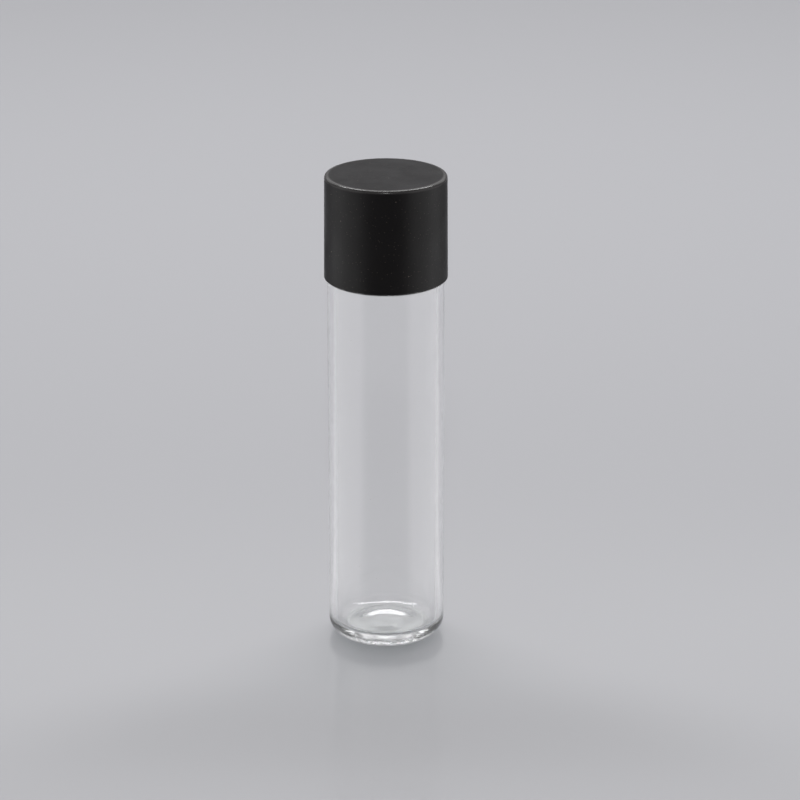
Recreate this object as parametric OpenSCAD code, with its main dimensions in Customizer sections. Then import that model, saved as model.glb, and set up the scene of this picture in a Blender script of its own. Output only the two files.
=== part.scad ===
// Glass sample vial with a threaded neck, a plain black screw cap and a soft sealing liner.
// Millimetres. The vial stands on z = 0 with its axis on Z; the thread is right-handed.

/* [Vial body] */
// Outside diameter of the glass tube
body_d = 17; // [15:0.1:22]
// Height from the foot to the top of the shoulder
body_h = 55.8; // [30:0.1:90]
// Thickness of the tube wall
wall = 1.2; // [0.8:0.05:1.6]
// Radius of the bend from the tube wall on to the shoulder, outside
shoulder_r = 0.65; // [0.3:0.05:1]
// Height over which the inside narrows from the tube to the neck
shoulder_inner_h = 1.3; // [1.2:0.1:3]

/* [Base] */
// Outside radius of the heel, between the tube wall and the foot
heel_r = 2.3; // [1:0.05:3]
// Radius of the heel inside
heel_inner_r = 1.3; // [0.5:0.05:2]
// Width of the flat ring that the vial stands on
foot_w = 1.7; // [0.3:0.05:2.2]
// Height of the push-up in the middle of the underside
punt_h = 0.8; // [0.2:0.05:1.2]
// Radius of the flat middle of the push-up, underneath
punt_flat_r = 1.2; // [0.3:0.1:2]
// Thickness of the floor beside the heel
floor_t = 1.6; // [1:0.05:2.5]
// Thickness of the floor in its middle
floor_mid_t = 1.3; // [0.8:0.05:2.5]
// Radius of the flat middle of the floor, inside
floor_flat_r = 2.2; // [0.5:0.1:3.5]

/* [Neck finish] */
// Height from the top of the shoulder to the rim
finish_h = 12.3; // [9:0.1:16]
// Distance by which the neck, between the threads, stands in from the outside of the tube
neck_step = 2; // [1.8:0.05:3]
// Thickness of the neck wall
neck_wall = 1.2; // [0.9:0.05:1.6]
// Radius of the fillet between the shoulder and the neck
neck_fillet_r = 0.8; // [0.3:0.05:1]
// Radius of the rim's rounded edges
rim_r = 0.35; // [0.1:0.05:0.4]

/* [Thread] */
// Rise of the thread in one turn
thread_pitch = 1.814; // [1.75:0.001:2.4]
// Turns of thread on the neck, and in the cap
thread_turns = 2; // [1:0.25:2.5]
// Height of the thread above the neck
thread_h = 0.75; // [0.5:0.05:0.9]
// Width of the thread at its root
thread_w = 1.1; // [0.8:0.05:1.15]
// Distance from the rim down to the middle of the thread's upper end
thread_start = 1.7; // [1.5:0.05:2.5]

/* [Cap] */
// Thickness of the cap's top
top_t = 1.4; // [1:0.05:2.5]
// Height of the thin lip at the skirt's foot, which reaches down over the shoulder
lip_h = 0.9; // [0.5:0.05:1.2]
// Thickness of that lip
lip_wall = 0.31; // [0.25:0.01:0.5]
// Angle by which the outside of the skirt narrows upwards, in degrees
skirt_draft = 0.4; // [0:0.05:1.5]
// Radius of the edge round the cap's top
cap_edge_r = 0.35; // [0.1:0.05:0.8]
// Radius of the outer edge of the lip
foot_edge_r = 0.12; // [0.05:0.01:0.2]
// Width of the chamfer between the ledge inside the skirt's foot and the bore
lead_in = 0.4; // [0.1:0.05:0.45]
// Height of the bead that keeps the liner in the cap
bead_h = 0.25; // [0.2:0.05:0.35]
// Width of that bead
bead_w = 0.6; // [0.4:0.05:0.9]

/* [Liner] */
// Thickness of the liner
liner_t = 0.9; // [0.5:0.05:1.6]

/* [Fits] */
// Radial gap between the crest of one thread and the root of the other
thread_play = 0.18; // [0.12:0.01:0.3]
// Gap along the axis between the flanks of the two threads when the cap is tight
flank_play = 0.2; // [0.15:0.01:0.25]
// Gap between the ledge inside the skirt's foot and the shoulder when the cap is tight
ledge_gap = 0.25; // [0.2:0.05:1]
// Radial gap between the lip and the tube
lip_play = 0.12; // [0.1:0.01:0.2]
// Radial gap round the edge of the liner
liner_play = 0.1; // [0.05:0.01:0.14]
// Gap between the liner and the bead under it
bead_play = 0.1; // [0.05:0.01:0.2]

/* [Hidden] */
body_r = body_d / 2;
tube_inner_r = body_r - wall;
neck_r = body_r - neck_step;
bore_r = neck_r - neck_wall;
rim_z = body_h + finish_h;

// The foot's ring has the push-up inside it, and the floor has the inner heel round it.
foot_outer_r = body_r - heel_r;
foot_inner_r = foot_outer_r - foot_w;
floor_r = tube_inner_r - heel_inner_r;
dome_h = punt_h + floor_mid_t - floor_t;

// The neck's fillet is no wider than the flat of the shoulder.
fillet_r = min(neck_fillet_r, body_r - shoulder_r - neck_r);

// The cap is placed from the rim up and from the shoulder up: its ledge lies over the shoulder and
// its lip round it.
ledge_z = body_h + ledge_gap;
cap_foot_z = ledge_z - lip_h;
cap_top_z = rim_z + liner_t + top_t;
cap_h = cap_top_z - cap_foot_z;
cap_bore_r = neck_r + thread_h + thread_play;
lip_inner_r = body_r + lip_play;
cap_foot_r = lip_inner_r + lip_wall;
cap_top_r = cap_foot_r - cap_h * tan(skirt_draft);

// The liner is wider than the bead's mouth, so it stays in the cap.
liner_r = cap_bore_r - liner_play;
bead_z = rim_z - bead_play - bead_w / 2;

// A thread's section is one arch that starts thread_sunk inside the wall, so that it comes out
// of the wall thread_w wide. It fades in and out over run_out degrees, from start_share of the
// arch's height, which lies inside the wall.
thread_sunk = 0.25;
arch_h = thread_h + thread_sunk;
arch_w = thread_w * 90 / acos(thread_sunk / arch_h);
run_out = 30;
start_share = 0.15;

// The cap's thread would touch the neck's from below at touch_drop under it, and when the cap
// is tight it lies lower by the gap between the flanks.
touch_drop = 2 * arch_w * acos((arch_h + thread_sunk + thread_play) / (2 * arch_h)) / 180;
neck_thread_z = rim_z - thread_start - thread_turns * thread_pitch;
cap_thread_z = neck_thread_z - touch_drop - flank_play;

bend_steps = 10;
crest_steps = 6;
turn_steps = 30;

// Points on an arc of radius r round [x, z], from angle a0 to angle a1.
function bend(x, z, r, a0, a1) =
    [for (i = [0:bend_steps])
        let (a = a0 + (a1 - a0) * i / bend_steps)
        [x + r * cos(a), z + r * sin(a)]];

// Share from 0 to 1 along a smooth S-shaped rise, at share t of its length.
function ease(t) = (1 - cos(180 * t)) / 2;

// Points of an S-curve from [x0, z0] to [x1, z1] that leaves and arrives level.
function level_curve(x0, z0, x1, z1) =
    [for (i = [0:bend_steps])
        let (t = i / bend_steps)
        [x0 + (x1 - x0) * t, z0 + (z1 - z0) * ease(t)]];

// Points of an S-curve from [x0, z0] to [x1, z1] that leaves and arrives upright.
function upright_curve(x0, z0, x1, z1) =
    [for (i = [0:bend_steps])
        let (t = i / bend_steps)
        [x0 + (x1 - x0) * ease(t), z0 + (z1 - z0) * t]];

// A list in the opposite order.
function turned(list) = [for (i = [len(list) - 1:-1:0]) list[i]];

// Share of the arch's full height at angle a of a run that is last degrees long.
function thread_share(a, last) =
    start_share + (1 - start_share) * sin(90 * min(1, min(a, last - a) / run_out));

// One rounded thread swept up a right-handed helix from z = 0. It stands on the radius root_r,
// and points outwards when side is 1 and inwards when side is -1.
module thread(root_r, side) {
    last = thread_turns * 360;
    rings = ceil(thread_turns * turn_steps);
    points = [for (i = [0:rings])
        let (a = last * i / rings, height = arch_h * thread_share(a, last))
        for (j = [0:crest_steps])
            let (t = j / crest_steps, r = root_r + side * (height * sin(180 * t) - thread_sunk))
            [r * cos(a), r * sin(a), thread_pitch * a / 360 + arch_w * (t - 0.5)]];
    n = crest_steps + 1;
    skin = [for (i = [0:rings - 1], j = [0:n - 1])
        let (k = (j + 1) % n, low = i * n, high = low + n)
        each [[low + j, low + k, high + k], [low + j, high + k, high + j]]];
    first_end = [for (j = [0:n - 1]) j];
    last_end = [for (j = [0:n - 1]) rings * n + j];
    faces = concat(skin, [turned(first_end), last_end]);
    polyhedron(points, side > 0 ? faces : [for (f = faces) turned(f)], convexity = 8);
}

// Half section of the glass, from the middle of the underside round the outside to the rim,
// and back down the inside.
module glass_section() {
    polygon(concat(
        [[0, punt_h]],
        level_curve(punt_flat_r, punt_h, foot_inner_r, 0),
        bend(foot_outer_r, heel_r, heel_r, -90, 0),
        bend(body_r - shoulder_r, body_h - shoulder_r, shoulder_r, 0, 90),
        bend(neck_r + fillet_r, body_h + fillet_r, fillet_r, 270, 180),
        bend(neck_r - rim_r, rim_z - rim_r, rim_r, 0, 90),
        bend(bore_r + rim_r, rim_z - rim_r, rim_r, 90, 180),
        upright_curve(bore_r, body_h, tube_inner_r, body_h - shoulder_inner_h),
        bend(floor_r, floor_t + heel_inner_r, heel_inner_r, 0, -90),
        level_curve(floor_r, floor_t, floor_flat_r, floor_t + dome_h),
        [[0, floor_t + dome_h]]
    ));
}

module glass_vial() {
    color([0.86, 0.9, 0.9, 0.4]) union() {
        rotate_extrude($fn = 96) glass_section();
        translate([0, 0, neck_thread_z]) thread(neck_r, 1);
    }
}

// Half section of the cap, from the middle of its top round the outside to the lip's foot, and up
// the inside over the ledge and the bead to the liner's seat.
module cap_section() {
    polygon(concat(
        [[0, cap_top_z]],
        bend(cap_top_r - cap_edge_r, cap_top_z - cap_edge_r, cap_edge_r, 90, 0),
        bend(cap_foot_r - foot_edge_r, cap_foot_z + foot_edge_r, foot_edge_r, 0, -90),
        [[lip_inner_r, cap_foot_z],
         [lip_inner_r, ledge_z],
         [cap_bore_r + lead_in, ledge_z],
         [cap_bore_r, ledge_z + lead_in],
         [cap_bore_r, bead_z - bead_w / 2],
         [cap_bore_r - bead_h, bead_z],
         [cap_bore_r, bead_z + bead_w / 2],
         [cap_bore_r, rim_z + liner_t],
         [0, rim_z + liner_t]]
    ));
}

module screw_cap() {
    color([0.1, 0.08, 0.08]) union() {
        rotate_extrude($fn = 96) cap_section();
        translate([0, 0, cap_thread_z]) thread(cap_bore_r, -1);
    }
}

module cap_liner() {
    color([0.93, 0.92, 0.88])
        translate([0, 0, rim_z]) cylinder(r = liner_r, h = liner_t, $fn = 96);
}

glass_vial();
screw_cap();
cap_liner();
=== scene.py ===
"""Looks of the glass sample vial: clear tube glass, a black moulded screw cap and its foam liner.

Sizes are written in millimetres and become metres in mesh_of(). The vial stands on z = 0 with its axis on Z.
"""

import bpy
import numpy as np
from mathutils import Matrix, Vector


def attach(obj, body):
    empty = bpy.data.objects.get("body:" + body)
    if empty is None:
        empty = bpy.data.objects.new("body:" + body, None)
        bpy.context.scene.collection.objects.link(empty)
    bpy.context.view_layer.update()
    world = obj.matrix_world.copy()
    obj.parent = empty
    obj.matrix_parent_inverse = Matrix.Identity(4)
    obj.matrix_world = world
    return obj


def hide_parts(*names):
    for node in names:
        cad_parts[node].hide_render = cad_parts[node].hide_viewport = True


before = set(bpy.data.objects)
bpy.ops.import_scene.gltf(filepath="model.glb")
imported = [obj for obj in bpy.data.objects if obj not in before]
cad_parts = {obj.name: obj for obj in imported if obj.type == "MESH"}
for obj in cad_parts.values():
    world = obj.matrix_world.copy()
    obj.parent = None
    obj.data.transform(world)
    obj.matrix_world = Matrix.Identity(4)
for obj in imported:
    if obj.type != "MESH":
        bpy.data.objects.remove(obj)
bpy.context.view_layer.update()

MM = 0.001

# Glass, as in the part's source
BODY_R, TUBE_INNER_R, BODY_H = 8.5, 7.3, 55.8
SHOULDER_R, SHOULDER_INNER_H = 0.65, 1.3
HEEL_R, HEEL_INNER_R = 2.3, 1.3
FOOT_INNER_R, FOOT_OUTER_R, PUNT_H, PUNT_FLAT_R = 4.5, 6.2, 0.8, 1.2
FLOOR_T, DOME_H, FLOOR_FLAT_R = 1.6, 0.5, 2.2
NECK_R, BORE_R, NECK_FILLET_R, RIM_R = 6.5, 5.3, 0.8, 0.35
RIM_Z = 68.1

# Thread
PITCH, TURNS, RUN_OUT = 1.814, 2.0, 30.0
THREAD_SUNK, ARCH_H, ARCH_W, START_SHARE = 0.25, 1.0, 1.311, 0.15
NECK_THREAD_Z, CAP_THREAD_Z = 62.772, 61.926

# Cap and liner; the cap's edge is a little softer than the solid's
CAP_BORE_R, LIP_INNER_R, CAP_FOOT_R, CAP_TOP_R = 7.43, 8.62, 8.924, 8.8175
CAP_FOOT_Z, LEDGE_Z, CAP_TOP_Z, SEAT_Z = 55.15, 56.05, 70.4, 69.0
CAP_EDGE_R, FOOT_EDGE_R, LEAD_IN = 0.45, 0.12, 0.4
BEAD_Z, BEAD_H, BEAD_W = 67.7, 0.25, 0.6
LINER_R, LINER_EDGE_R = 7.33, 0.12


# ---------------------------------------------------------------- sections

def bend(x, z, r, start, end, steps=14):
    """Points on an arc of radius r round (x, z), from one angle to another in degrees."""
    a = np.radians(np.linspace(start, end, steps))
    return np.column_stack((x + r * np.cos(a), z + r * np.sin(a)))


def straight(x0, z0, x1, z1, steps):
    """Points on a line, closer together towards both ends: the share is (1 - cos(pi t)) / 2."""
    t = (1 - np.cos(np.pi * np.linspace(0, 1, steps))) / 2
    return np.column_stack((x0 + (x1 - x0) * t, z0 + (z1 - z0) * t))


def even(x0, z0, x1, z1, steps):
    """Points on a line at equal steps."""
    return np.column_stack((np.linspace(x0, x1, steps), np.linspace(z0, z1, steps)))


def level_curve(x0, z0, x1, z1, steps):
    """An S-curve that leaves and arrives level: the height's share is (1 - cos(pi t)) / 2."""
    t = np.linspace(0, 1, steps)
    return np.column_stack((x0 + (x1 - x0) * t, z0 + (z1 - z0) * (1 - np.cos(np.pi * t)) / 2))


def upright_curve(x0, z0, x1, z1, steps):
    """An S-curve that leaves and arrives upright: the radius's share is (1 - cos(pi t)) / 2."""
    t = np.linspace(0, 1, steps)
    return np.column_stack((x0 + (x1 - x0) * (1 - np.cos(np.pi * t)) / 2, z0 + (z1 - z0) * t))


def section(*runs):
    """The runs one after another, without the points that repeat where they meet."""
    points = np.vstack(runs)
    apart = np.hypot(*np.diff(points, axis=0).T) > 1e-4
    return points[np.concatenate(([True], apart))]


# ---------------------------------------------------------------- surfaces

def mesh_of(name, points, faces, material, body, node):
    """A mesh object from points in millimetres, which rides on a body and stands for a node."""
    mesh = bpy.data.meshes.new(name)
    mesh.from_pydata((points * MM).tolist(), [], faces)
    mesh.polygons.foreach_set("use_smooth", np.ones(len(mesh.polygons), bool))
    mesh.materials.append(material)
    mesh.update()
    piece = bpy.data.objects.new(name, mesh)
    bpy.context.scene.collection.objects.link(piece)
    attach(piece, body)
    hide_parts(node)
    return piece


def revolved(points, columns, shape):
    """A section turned about Z into a closed skin: point (r, z) at angle a is (r cos a, r sin a, z),
    after shape has moved it. The section starts and ends on the axis, each end being one pole."""
    a = np.arange(columns) * 2 * np.pi / columns
    r, z = shape(a[None, :], points[1:-1, :1], points[1:-1, 1:])
    r, z = np.broadcast_arrays(r, z)
    rings = np.stack((r * np.cos(a), r * np.sin(a), z), axis=-1).reshape(-1, 3)
    first, last = (0.0, 0.0, points[0, 1]), (0.0, 0.0, points[-1, 1])
    where = np.vstack((rings, [first], [last]))

    rows = len(points) - 2
    at = np.arange(rows * columns).reshape(rows, columns)
    beside = np.roll(at, -1, axis=1)
    quads = np.stack((at[:-1], beside[:-1], beside[1:], at[1:]), axis=-1).reshape(-1, 4)
    pole = np.full(columns, rows * columns)
    low = np.stack((pole, beside[0], at[0]), axis=-1)
    high = np.stack((at[-1], beside[-1], pole + 1), axis=-1)
    return where, quads.tolist() + low.tolist() + high.tolist()


def ridge(a, z, start_z):
    """Height of the thread at angle a and height z. Each turn is an arch, cos(pi d / width) high at
    the distance d from its middle, which climbs by the pitch for each turn. The arch fades in and
    out along the run, starts sunk in the wall, and meets it in a small fillet, (x + sqrt(x^2 + e^2)) / 2
    with e = 0.06 mm, less what that leaves on the bare wall."""
    last = TURNS * 360
    run = np.degrees(a)
    most = np.full(np.broadcast(a, z).shape, -THREAD_SUNK)
    for turn in range(int(TURNS) + 1):
        along = run + 360 * turn
        off = np.clip((z - start_z - PITCH * along / 360) / ARCH_W, -0.5, 0.5)
        near = np.clip(np.minimum(along, last - along) / RUN_OUT, 0, 1)
        share = START_SHARE + (1 - START_SHARE) * np.sin(np.pi / 2 * near)
        share = np.where(along <= last, share, 0)
        most = np.maximum(most, ARCH_H * share * np.cos(np.pi * off) - THREAD_SUNK)
    e = 0.06
    return (most + np.sqrt(most ** 2 + e ** 2)) / 2 - e ** 2 / 4 / THREAD_SUNK


def waver(a, seed, first=2, count=9):
    """A slow unevenness round the axis, between 0 and 1: a sum of waves of falling height."""
    rng = np.random.default_rng(seed)
    total = np.zeros_like(a)
    for k in range(first, first + count):
        total = total + np.cos(k * a + rng.uniform(0, 2 * np.pi)) / k ** 0.5
    return (total - total.min()) / (total.max() - total.min())


def hump(x, middle, width):
    """A bell curve, 1 at the middle and 0.37 at one width from it."""
    return np.exp(-(((x - middle) / width) ** 2))


def glass_shape(a, r, z):
    """The thread on the neck, and the waves that hot forming leaves: up to 0.09 mm in the heel, 0.05 mm in
    the push-up underneath and 0.03 mm on the floor inside."""
    on_neck = np.isclose(r, NECK_R) & (z > BODY_H)
    r_new = r + np.where(on_neck, ridge(a, z, NECK_THREAD_Z), 0)
    heel = (r > FOOT_OUTER_R) & (z < HEEL_R) & ~on_neck
    outer_heel = heel & (np.hypot(r - FOOT_OUTER_R, z - HEEL_R) > HEEL_R - 0.01)
    r_new = r_new - np.where(outer_heel, 0.09 * hump(z, 0.9, 0.7) * waver(a, 3, 3, 12), 0)
    under = (r < FOOT_INNER_R) & (z <= PUNT_H + 0.001)
    z_new = z + np.where(under, 0.05 * np.sin(np.pi * r / FOOT_INNER_R) * waver(a, 5), 0)
    inside = (r < TUBE_INNER_R) & (z >= FLOOR_T - 0.001) & (z < FLOOR_T + HEEL_INNER_R)
    z_new = z_new + np.where(inside, 0.03 * hump(r, 5.6, 1.6) * waver(a, 8), 0)
    return r_new, z_new


def cap_shape(a, r, z):
    """The thread inside the skirt, which stands inwards from the bore."""
    in_bore = np.isclose(r, CAP_BORE_R)
    return r - np.where(in_bore, ridge(a, z, CAP_THREAD_Z), 0), z


def liner_shape(a, r, z):
    """A ring 0.04 mm deep that the rim presses into the underside."""
    under = z < RIM_Z + LINER_EDGE_R / 2
    return r, z + np.where(under, 0.04 * hump(r, (NECK_R + BORE_R) / 2, 0.5), 0) + 0 * a


def inner_heel():
    """From the wall's foot inside down to the floor: three arcs that meet in line, so the heel runs out
    long on to the floor. An arc of radius r drops by r times the difference of its angles' sines, and the
    first radius makes up the height that the other two leave. Each centre lies in line with the last."""
    turn, flatter, wide, long = 58, 77, 3.0, 2.0
    low, high = np.sin(np.radians((turn, flatter)))
    tight = (HEEL_INNER_R - wide * (high - low) - long * (1 - high)) / low
    x, z, last = TUBE_INNER_R, FLOOR_T + HEEL_INNER_R, 0
    runs = []
    for r, start, end in ((tight, 0, -turn), (wide, -turn, -flatter), (long, -flatter, -90)):
        a = np.radians(start)
        x, z, last = x + (last - r) * np.cos(a), z + (last - r) * np.sin(a), r
        runs.append(bend(x, z, r, start, end))
    return np.vstack(runs)


def glass_section():
    """From the middle of the underside round the outside to the rim, and back down the inside."""
    shoulder_x, rim_x = BODY_R - SHOULDER_R, NECK_R - RIM_R
    heel = inner_heel()
    return section(
        even(0, PUNT_H, PUNT_FLAT_R, PUNT_H, 6),
        level_curve(PUNT_FLAT_R, PUNT_H, FOOT_INNER_R, 0, 30),
        even(FOOT_INNER_R, 0, FOOT_OUTER_R, 0, 4),
        bend(FOOT_OUTER_R, HEEL_R, HEEL_R, -90, 0, 24),
        straight(BODY_R, HEEL_R, BODY_R, BODY_H - SHOULDER_R, 26),
        bend(shoulder_x, BODY_H - SHOULDER_R, SHOULDER_R, 0, 90),
        straight(shoulder_x, BODY_H, NECK_R + NECK_FILLET_R, BODY_H, 4),
        bend(NECK_R + NECK_FILLET_R, BODY_H + NECK_FILLET_R, NECK_FILLET_R, 270, 180),
        straight(NECK_R, BODY_H + NECK_FILLET_R, NECK_R, NECK_THREAD_Z - 1, 10),
        even(NECK_R, NECK_THREAD_Z - 1, NECK_R, RIM_Z - RIM_R, 86),
        bend(rim_x, RIM_Z - RIM_R, RIM_R, 0, 90, 8),
        bend(BORE_R + RIM_R, RIM_Z - RIM_R, RIM_R, 90, 180, 8),
        straight(BORE_R, RIM_Z - RIM_R, BORE_R, BODY_H, 16),
        upright_curve(BORE_R, BODY_H, TUBE_INNER_R, BODY_H - SHOULDER_INNER_H, 22),
        straight(TUBE_INNER_R, BODY_H - SHOULDER_INNER_H, TUBE_INNER_R, FLOOR_T + HEEL_INNER_R, 26),
        heel,
        level_curve(heel[-1, 0], FLOOR_T, FLOOR_FLAT_R, FLOOR_T + DOME_H, 30),
        even(FLOOR_FLAT_R, FLOOR_T + DOME_H, 0, FLOOR_T + DOME_H, 8),
    )


def cap_section():
    """From the middle of the liner's seat down the inside to the lip's foot, and up the outside."""
    low, high = BEAD_Z - BEAD_W / 2, BEAD_Z + BEAD_W / 2
    crest = CAP_BORE_R - BEAD_H
    top_x, foot_x = CAP_TOP_R - CAP_EDGE_R, CAP_FOOT_R - FOOT_EDGE_R
    return section(
        straight(0, SEAT_Z, CAP_BORE_R, SEAT_Z, 10),
        straight(CAP_BORE_R, SEAT_Z, CAP_BORE_R, high, 8),
        straight(CAP_BORE_R, high, crest, BEAD_Z, 6),
        straight(crest, BEAD_Z, CAP_BORE_R, low, 6),
        even(CAP_BORE_R, low, CAP_BORE_R, CAP_THREAD_Z - 1, 90),
        straight(CAP_BORE_R, CAP_THREAD_Z - 1, CAP_BORE_R, LEDGE_Z + LEAD_IN, 12),
        straight(CAP_BORE_R, LEDGE_Z + LEAD_IN, CAP_BORE_R + LEAD_IN, LEDGE_Z, 5),
        straight(CAP_BORE_R + LEAD_IN, LEDGE_Z, LIP_INNER_R, LEDGE_Z, 5),
        straight(LIP_INNER_R, LEDGE_Z, LIP_INNER_R, CAP_FOOT_Z, 6),
        straight(LIP_INNER_R, CAP_FOOT_Z, foot_x, CAP_FOOT_Z, 4),
        bend(foot_x, CAP_FOOT_Z + FOOT_EDGE_R, FOOT_EDGE_R, -90, 0, 8),
        straight(CAP_FOOT_R, CAP_FOOT_Z + FOOT_EDGE_R, CAP_TOP_R, CAP_TOP_Z - CAP_EDGE_R, 30),
        bend(top_x, CAP_TOP_Z - CAP_EDGE_R, CAP_EDGE_R, 0, 90, 14),
        straight(top_x, CAP_TOP_Z, 0, CAP_TOP_Z, 24),
    )


def liner_section():
    """From the middle of the underside round the die-cut edge to the middle of the top."""
    x = LINER_R - LINER_EDGE_R
    return section(
        even(0, RIM_Z, x, RIM_Z, 60),
        bend(x, RIM_Z + LINER_EDGE_R, LINER_EDGE_R, -90, 0, 7),
        bend(x, SEAT_Z - LINER_EDGE_R, LINER_EDGE_R, 0, 90, 7),
        straight(x, SEAT_Z, 0, SEAT_Z, 12),
    )


# ---------------------------------------------------------------- materials

def linear(code):
    """An sRGB hex colour as linear RGBA."""
    c = np.array([int(code[i:i + 2], 16) for i in (1, 3, 5)]) / 255
    return (*np.where(c <= 0.04045, c / 12.92, ((c + 0.055) / 1.055) ** 2.4), 1.0)


def add(tree, kind, settings=None, **inputs):
    """Adds a node. settings are its own properties. An input is named by its label with _ for a
    blank, or i0, i1 ... for its number, and takes a value or another node's output."""
    node = tree.nodes.new("ShaderNode" + kind)
    for key, value in (settings or {}).items():
        setattr(node, key, value)
    for key, value in inputs.items():
        plug = node.inputs[int(key[1:]) if key[1:].isdigit() else key.replace("_", " ")]
        if isinstance(value, bpy.types.NodeSocket):
            tree.links.new(value, plug)
        else:
            plug.default_value = value
    return node


def new_material(name):
    material = bpy.data.materials.new(name)
    material.use_nodes = True
    material.node_tree.nodes.clear()
    return material, material.node_tree


def per_mm(tree, x, y, z):
    """Object coordinates counted in pattern steps, each axis's step being a length in millimetres."""
    where = add(tree, "TexCoord").outputs["Object"]
    scale = (1 / (x * MM), 1 / (y * MM), 1 / (z * MM))
    return add(tree, "Mapping", Vector=where, Scale=scale).outputs["Vector"]


def specks(tree, cell, radius, share):
    """1 on small round specks, one in each cell of a grid in millimetres, in that share of the cells."""
    cells = add(tree, "TexVoronoi", {"feature": "F1"}, Vector=per_mm(tree, cell, cell, cell), Scale=1.0)
    near = add(tree, "Math", {"operation": "LESS_THAN"}, i0=cells.outputs["Distance"], i1=radius / cell)
    draw = add(tree, "SeparateColor", i0=cells.outputs["Color"]).outputs[0]
    kept = add(tree, "Math", {"operation": "LESS_THAN"}, i0=draw, i1=share)
    return everywhere(tree, near.outputs[0], kept.outputs[0])


def height_and_radius(tree):
    """Each point's height above the foot and its distance from the axis, in metres."""
    spot = add(tree, "TexCoord").outputs["Object"]
    height = add(tree, "SeparateXYZ", Vector=spot).outputs["Z"]
    level = add(tree, "Mapping", Vector=spot, Scale=(1, 1, 0)).outputs["Vector"]
    return height, add(tree, "VectorMath", {"operation": "LENGTH"}, i0=level).outputs["Value"]


def from_to(tree, value, start, end):
    """0 before start and 1 after end, in millimetres, rising smoothly between them."""
    soft = {"interpolation_type": "SMOOTHSTEP"}
    return add(tree, "MapRange", soft, Value=value, From_Min=start * MM, From_Max=end * MM).outputs[0]


def everywhere(tree, *shares):
    """1 only where every share is 1: their product."""
    total = shares[0]
    for share in shares[1:]:
        total = add(tree, "Math", {"operation": "MULTIPLY"}, i0=total, i1=share).outputs[0]
    return total


def drawn_glass():
    """Borosilicate tube glass, drawn hot and closed in a flame: clear and smooth, with faint lines along
    the draw that bend what is behind them, a bloom where the base was worked, small knots outside on the
    heel, a milky haze on the floor inside, a little dust, and no colour of its own."""
    material, tree = new_material("drawn_glass")
    height, radius = height_and_radius(tree)

    lines = add(tree, "TexNoise", Vector=per_mm(tree, 1.3, 1.3, 60), Scale=1.0, Detail=2.0, Roughness=0.5)
    drawn = add(tree, "Bump", Height=lines.outputs["Fac"], Distance=0.016 * MM, Strength=1.0)
    beyond, below = from_to(tree, radius, 7.35, 7.7), from_to(tree, height, 1.5, 1.1)
    outside = add(tree, "Math", {"operation": "MAXIMUM"}, i0=beyond, i1=below).outputs[0]
    heel = everywhere(tree, outside, from_to(tree, height, 3.2, 1.4), from_to(tree, radius, 5.8, 7.0))
    knots = add(tree, "TexNoise", Vector=per_mm(tree, 0.45, 0.45, 0.3), Scale=1.0, Detail=1.0).outputs["Fac"]
    skin = add(
        tree, "Bump", Height=everywhere(tree, knots, heel), Distance=0.05 * MM, Strength=1.0,
        Normal=drawn.outputs[0],
    )

    dust = specks(tree, 1.6, 0.06, 0.3)
    base = from_to(tree, height, 3.0, 1.9)
    bloom = add(tree, "MapRange", Value=base, To_Min=0.0, To_Max=0.11).outputs[0]
    dull = add(tree, "MapRange", Value=dust, To_Min=0.0, To_Max=0.5).outputs[0]
    rough = add(tree, "Math", {"operation": "MAXIMUM"}, i0=bloom, i1=dull).outputs[0]
    floor = everywhere(
        tree, from_to(tree, height, 1.3, 1.5), from_to(tree, height, 2.4, 2.2),
        from_to(tree, radius, 6.4, 5.4),
    )
    haze = add(tree, "MapRange", Value=floor, To_Min=1.0, To_Max=0.7).outputs[0]
    bare = add(tree, "MapRange", Value=dust, To_Min=1.0, To_Max=0.25).outputs[0]
    glass = add(
        tree, "BsdfPrincipled", Base_Color=linear("#fefefe"), IOR=1.49, Roughness=rough,
        Transmission_Weight=everywhere(tree, haze, bare), Normal=skin.outputs[0],
    )
    shade = add(tree, "BsdfTransparent", Color=(0.86, 0.87, 0.87, 1))
    path = add(tree, "LightPath")
    both = add(tree, "MixShader", i0=path.outputs["Is Shadow Ray"], i1=glass.outputs[0], i2=shade.outputs[0])
    add(tree, "OutputMaterial", Surface=both.outputs[0])
    return material


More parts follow.
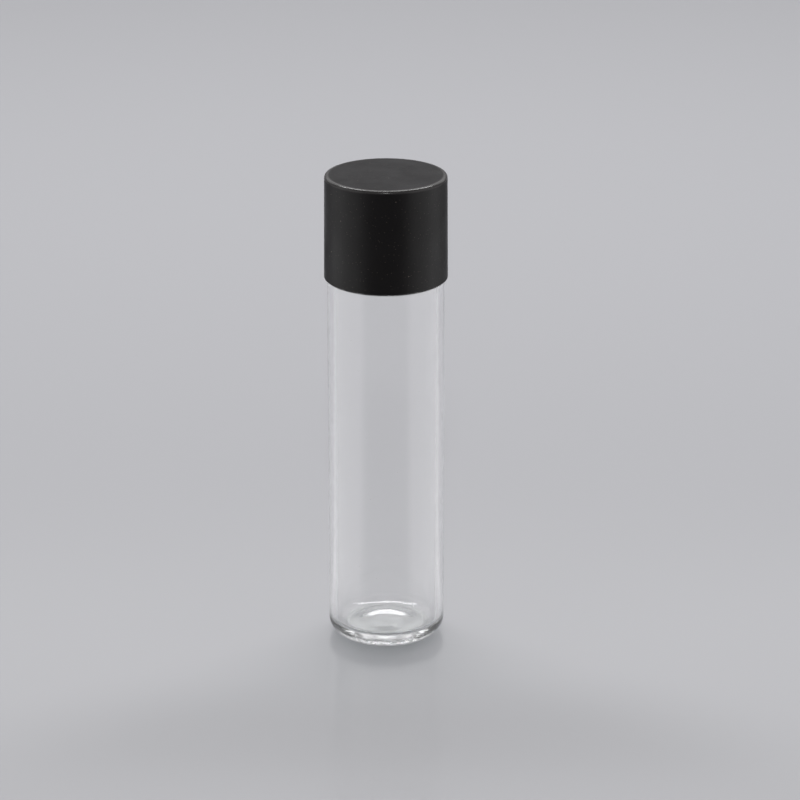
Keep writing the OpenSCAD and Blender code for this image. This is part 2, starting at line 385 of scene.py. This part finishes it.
def moulded_cap():
    """Black polypropylene, injection moulded in a finely blasted mould: a satin skin with a grain that
    shades itself at a glancing angle, rubbed smoother round the top edge, with a few grains of dust. Round
    the top edge the colour is also a little paler: a painted highlight."""
    material, tree = new_material("moulded_black_plastic")
    height, radius = height_and_radius(tree)
    top, side = (CAP_TOP_Z - 0.5) * MM, (CAP_TOP_R - 0.7) * MM
    above = add(tree, "MapRange", Value=height, From_Min=top, From_Max=top + 0.2 * MM).outputs[0]
    outside = add(tree, "MapRange", Value=radius, From_Min=side, From_Max=side + 0.25 * MM).outputs[0]
    # The top edge's band: smoother and glossier from rubbing, and a little paler in colour as a painted
    # highlight.
    rubbed_edge_and_highlight = everywhere(tree, above, outside)

    grain = add(tree, "TexNoise", Vector=per_mm(tree, 0.35, 0.35, 0.35), Scale=1.0, Detail=3.0).outputs["Fac"]
    deep = add(tree, "Mix", {"data_type": "FLOAT"}, i0=rubbed_edge_and_highlight, i2=grain, i3=0.5).outputs[0]
    bump = add(tree, "Bump", Height=deep, Distance=0.014 * MM, Strength=1.0)
    cloud = add(tree, "TexNoise", Vector=per_mm(tree, 4, 4, 4), Scale=1.0, Detail=2.0).outputs["Fac"]
    skin = add(tree, "MapRange", Value=cloud, From_Min=0.3, From_Max=0.7, To_Min=0.33, To_Max=0.42).outputs[0]
    rough = add(tree, "Mix", {"data_type": "FLOAT"}, i0=rubbed_edge_and_highlight, i2=skin, i3=0.25).outputs[0]
    facing = add(tree, "LayerWeight", Blend=0.5).outputs["Facing"]
    satin = add(
        tree, "MapRange", Value=facing, From_Min=0.35, From_Max=0.72, To_Min=0.2, To_Max=0.05,
    ).outputs[0]
    polish = add(tree, "MapRange", Value=rubbed_edge_and_highlight, To_Min=1.0, To_Max=2.8).outputs[0]

    colour = linear("#0b0808")
    for share, code in (
        (specks(tree, 0.53, 0.07, 0.9), "#3c3530"),
        # a paler band round the top edge: painted highlight
        (rubbed_edge_and_highlight, "#1c1612"),
        (specks(tree, 1.37, 0.08, 0.4), "#7a7068"),
    ):
        colour = add(tree, "Mix", {"data_type": "RGBA"}, i0=share, i6=colour, i7=linear(code)).outputs[2]
    plastic = add(
        tree, "BsdfPrincipled", Base_Color=colour, IOR=1.49, Roughness=rough, Normal=bump.outputs[0],
        Specular_IOR_Level=everywhere(tree, satin, polish),
    )
    add(tree, "OutputMaterial", Surface=plastic.outputs[0])
    return material


def foam_sheet():
    """Foamed polyethylene sheet, die-cut: off-white and matt, with fine closed cells."""
    material, tree = new_material("foamed_polyethylene")
    cells = add(tree, "TexVoronoi", {"feature": "F1"}, Vector=per_mm(tree, 0.25, 0.25, 0.25), Scale=1.0)
    bump = add(
        tree, "Bump", {"invert": True}, Height=cells.outputs["Distance"], Distance=0.03 * MM, Strength=1.0,
    )
    cloud = add(tree, "TexNoise", Vector=per_mm(tree, 3, 3, 3), Scale=1.0, Detail=2.0)
    colour = add(
        tree, "Mix", {"data_type": "RGBA"}, i0=cloud.outputs["Fac"],
        i6=linear("#efeadf"), i7=linear("#e4decf"),
    )
    foam = add(
        tree, "BsdfPrincipled", Base_Color=colour.outputs[2], IOR=1.5, Roughness=0.7, Normal=bump.outputs[0],
    )
    add(tree, "OutputMaterial", Surface=foam.outputs[0])
    return material


def studio_floor():
    """A plain pale sheet with a slight gloss. In what the object mirrors, but not in what shows through its
    glass, the sheet is brighter at both sides, as if white cards lay there from 10 to 35 mm outwards, about
    35 to 115 degrees round from the front."""
    material, tree = new_material("pale_sheet")
    spot = add(tree, "TexCoord").outputs["Object"]
    level = add(tree, "Mapping", Vector=spot, Scale=(1, 1, 0)).outputs["Vector"]
    way = add(tree, "VectorMath", {"operation": "NORMALIZE"}, i0=level).outputs["Vector"]
    back = add(tree, "SeparateXYZ", Vector=way).outputs["Y"]
    reach = add(tree, "VectorMath", {"operation": "LENGTH"}, i0=level).outputs["Value"]
    soft = {"interpolation_type": "SMOOTHSTEP"}
    after = add(tree, "MapRange", soft, Value=back, From_Min=-0.85, From_Max=-0.6).outputs[0]
    before = add(tree, "MapRange", soft, Value=back, From_Min=0.6, From_Max=0.35).outputs[0]
    path = add(tree, "LightPath").outputs
    gloss, through = path["Is Glossy Ray"], path["Is Transmission Ray"]
    less = {"operation": "SUBTRACT", "use_clamp": True}
    mirrored = add(tree, "Math", less, i0=gloss, i1=through).outputs[0]
    glow = everywhere(tree, mirrored, after, before, from_to(tree, reach, 10, 35))
    sheet = add(
        tree, "BsdfPrincipled", Base_Color=linear("#b8b8bc"), Roughness=0.16, Specular_IOR_Level=0.3,
        Emission_Color=(1, 1, 1, 1), Emission_Strength=glow,
    )
    add(tree, "OutputMaterial", Surface=sheet.outputs[0])
    return material


# ---------------------------------------------------------------- stage

def lay_floor():
    """A round sheet just under the foot, wide enough to fill every view."""
    a = np.arange(96) * 2 * np.pi / 96
    rim = np.column_stack((2.2 * np.cos(a), 2.2 * np.sin(a), np.full(96, -0.02 * MM)))
    mesh = bpy.data.meshes.new("floor")
    mesh.from_pydata(rim.tolist(), [], [list(range(96))])
    mesh.materials.append(studio_floor())
    floor = bpy.data.objects.new("floor", mesh)
    bpy.context.scene.collection.objects.link(floor)


def softbox(name, place, wide, high, glow, aim=(0, 0, 0.035)):
    """An area lamp that faces the aim. glow is its brightness, where a white card in full light is 1."""
    data = bpy.data.lights.new(name, "AREA")
    data.shape = "RECTANGLE"
    data.size, data.size_y = wide, high
    data.energy = glow * np.pi * wide * high
    lamp = bpy.data.objects.new(name, data)
    lamp.location = place
    lamp.rotation_euler = (Vector(aim) - Vector(place)).to_track_quat("-Z", "Y").to_euler()
    lamp.visible_camera = False
    bpy.context.scene.collection.objects.link(lamp)


def light_room():
    """An even pale world. Its pale colour is what the camera, gloss and glass see; its own light is weak, so
    that the lamps give the object its light and shade."""
    world = bpy.data.worlds.new("room")
    bpy.context.scene.world = world
    world.use_nodes = True
    tree = world.node_tree
    tree.nodes.clear()
    path = add(tree, "LightPath").outputs
    seen = add(tree, "Math", {"operation": "MAXIMUM"}, i0=path["Is Camera Ray"], i1=path["Is Glossy Ray"])
    seen = add(tree, "Math", {"operation": "MAXIMUM"}, i0=seen.outputs[0], i1=path["Is Transmission Ray"])
    colour = add(
        tree, "Mix", {"data_type": "RGBA"}, i0=seen.outputs[0], i6=(0.1, 0.1, 0.1, 1), i7=linear("#bebec2"),
    )
    glow = add(tree, "Background", Color=colour.outputs[2], Strength=1.0)
    add(tree, "OutputWorld", Surface=glow.outputs[0])


def place_camera():
    """A long lens half a metre away, which looks down at the vial by about 20 degrees."""
    data = bpy.data.cameras.new("camera")
    data.sensor_width, data.lens = 36.0, 157.3
    data.clip_start = 0.02
    camera = bpy.data.objects.new("camera", data)
    camera.location = (0.00202, -0.480, 0.2086)
    aim = Vector((0.00202, 0, 0.0362)) - camera.location
    camera.rotation_euler = aim.to_track_quat("-Z", "Y").to_euler()
    bpy.context.scene.collection.objects.link(camera)
    bpy.context.scene.camera = camera


# ---------------------------------------------------------------- the vial

where, faces = revolved(glass_section(), 240, glass_shape)
mesh_of("clear_vial", where, faces, drawn_glass(), "vial", "glass_vial")

where, faces = revolved(cap_section(), 224, cap_shape)
mesh_of("black_cap", where, faces, moulded_cap(), "cap", "screw_cap")

where, faces = revolved(liner_section(), 160, liner_shape)
mesh_of("foam_liner", where, faces, foam_sheet(), "liner", "cap_liner")

lay_floor()
light_room()
softbox("left_softbox", (-0.42, -0.12, 0.24), 0.5, 0.2, 0.6)
softbox("right_softbox", (0.42, -0.12, 0.24), 0.5, 0.2, 0.6)
softbox("top_softbox", (0, 0.28, 0.52), 0.72, 0.1, 13)
softbox("rear_softbox", (0, 0.655, 0.461), 1.6, 0.38, 1.0)
softbox("small_lamp", (0, -0.38, 0.332), 0.025, 0.025, 100)
place_camera()

# Light crosses glass many times before it leaves it. The glass's Transparent shader already lets it through
# to the floor, so refractive caustics, which would count it twice, are off.
cycles = bpy.context.scene.cycles
cycles.max_bounces, cycles.glossy_bounces, cycles.transmission_bounces = 24, 16, 24
cycles.caustics_refractive = False
bpy.context.scene.view_settings.view_transform = "Standard"
